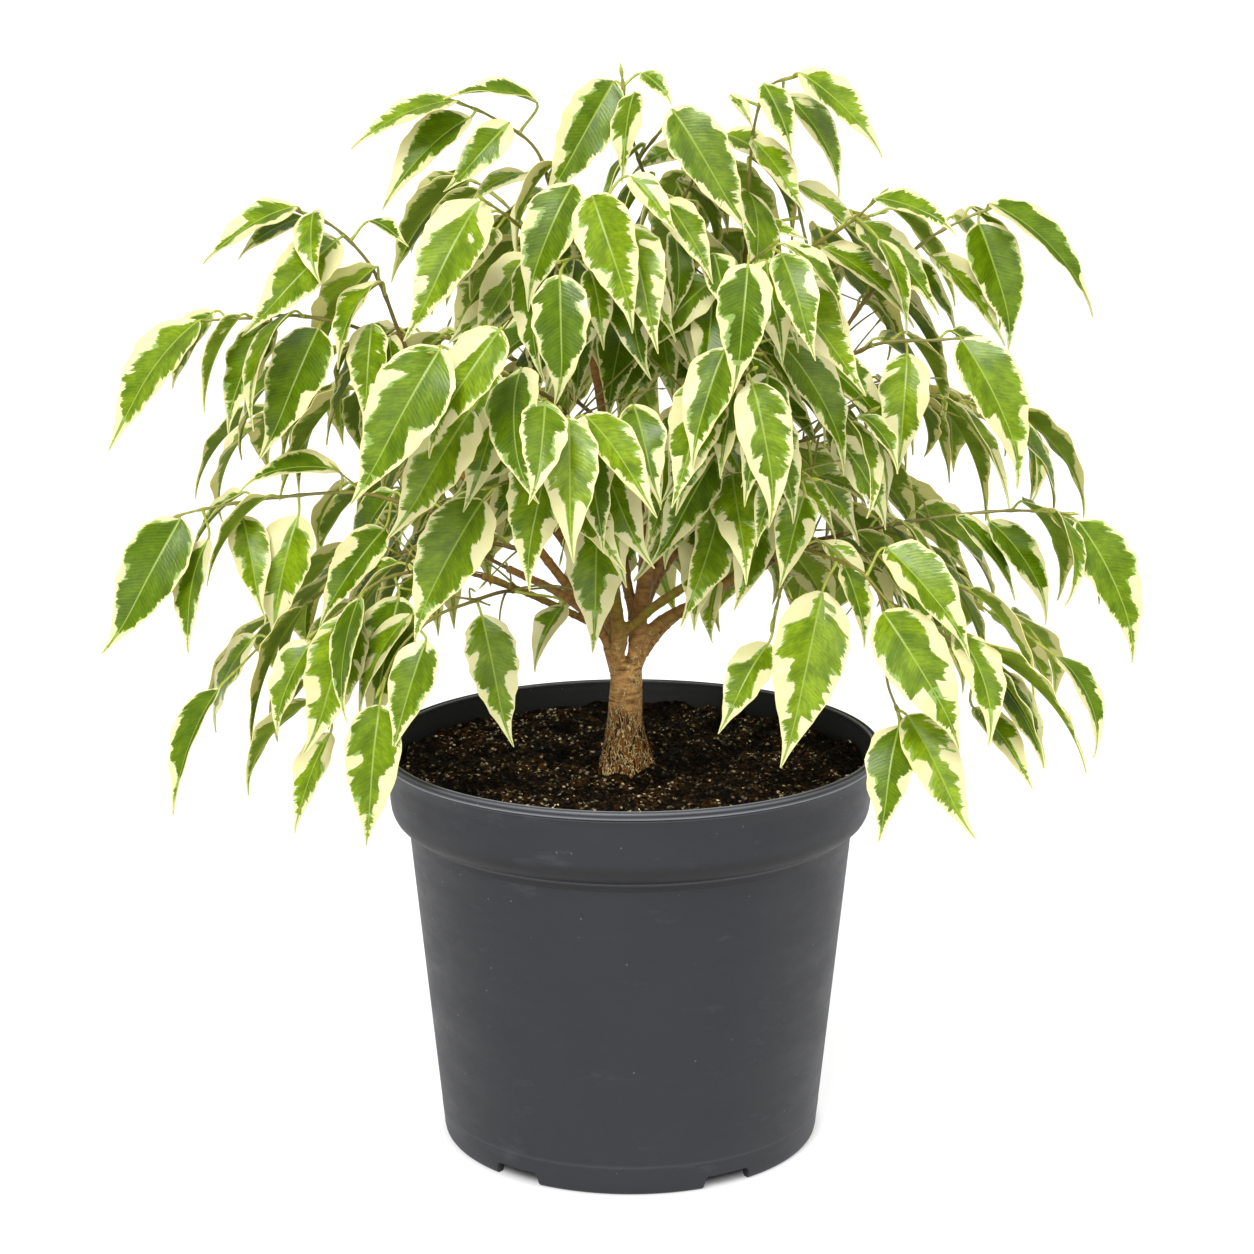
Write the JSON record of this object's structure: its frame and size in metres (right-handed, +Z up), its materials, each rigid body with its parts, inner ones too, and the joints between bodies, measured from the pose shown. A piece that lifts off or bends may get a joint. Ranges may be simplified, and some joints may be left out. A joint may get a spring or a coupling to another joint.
{
  "type": "potted weeping fig",
  "caption": "Small weeping fig with arching twigs of cream-edged leaves on a short trunk, rooted in potting mix in a dark plastic nursery pot.",
  "frame": {"origin": "the middle of the pot's base, on the surface that the pot stands on", "axes": "+Z up from the pot's base to the crown; the front of the plant, as the picture shows it, looks along -Y"},
  "size_m": [0.3804, 0.3153, 0.4051],
  "materials": {
    "pot_plastic": "matte anthracite polypropylene",
    "potting_mix": "damp dark peat with tan fibres",
    "bark": "tan-brown bark, wrinkled at the foot",
    "leaf": "glossy green leaf with a cream margin"
  },
  "bodies": {
    "root": {"pot": "pot_plastic", "soil": "potting_mix", "spray_back_left_high": "leaf", "spray_back_left_mid": "leaf", "spray_back_left_side": "leaf", "spray_back_low_left": "leaf", "spray_back_low_mid": "leaf", "spray_back_low_right": "leaf", "spray_back_mid_high": "leaf", "spray_back_mid_left": "leaf", "spray_back_mid_right": "leaf", "spray_back_right_high": "leaf", "spray_back_right_mid": "leaf", "spray_back_right_side": "leaf", "spray_crown_back_left": "leaf", "spray_crown_back_mid": "leaf", "spray_crown_back_right": "leaf", "spray_crown_left": "leaf", "spray_crown_mid": "leaf", "spray_crown_right": "leaf", "spray_front_high": "leaf", "spray_left_front": "leaf", "spray_left_low": "leaf", "spray_left_mid": "leaf", "spray_left_under": "leaf", "spray_left_upper": "leaf", "spray_low_right": "leaf", "spray_mid": "leaf", "spray_mid_left": "leaf", "spray_mid_right": "leaf", "spray_right_far": "leaf", "spray_right_front": "leaf", "spray_right_inner": "leaf", "spray_right_low": "leaf", "spray_right_mid": "leaf", "spray_right_upper": "leaf", "spray_side_left": "leaf", "spray_side_left_high": "leaf", "spray_side_right": "leaf", "spray_side_right_high": "leaf", "spray_upper_left": "leaf", "spray_upper_mid": "leaf", "spray_upper_right": "leaf", "trunk": "bark"}
  },
  "joints": []
}
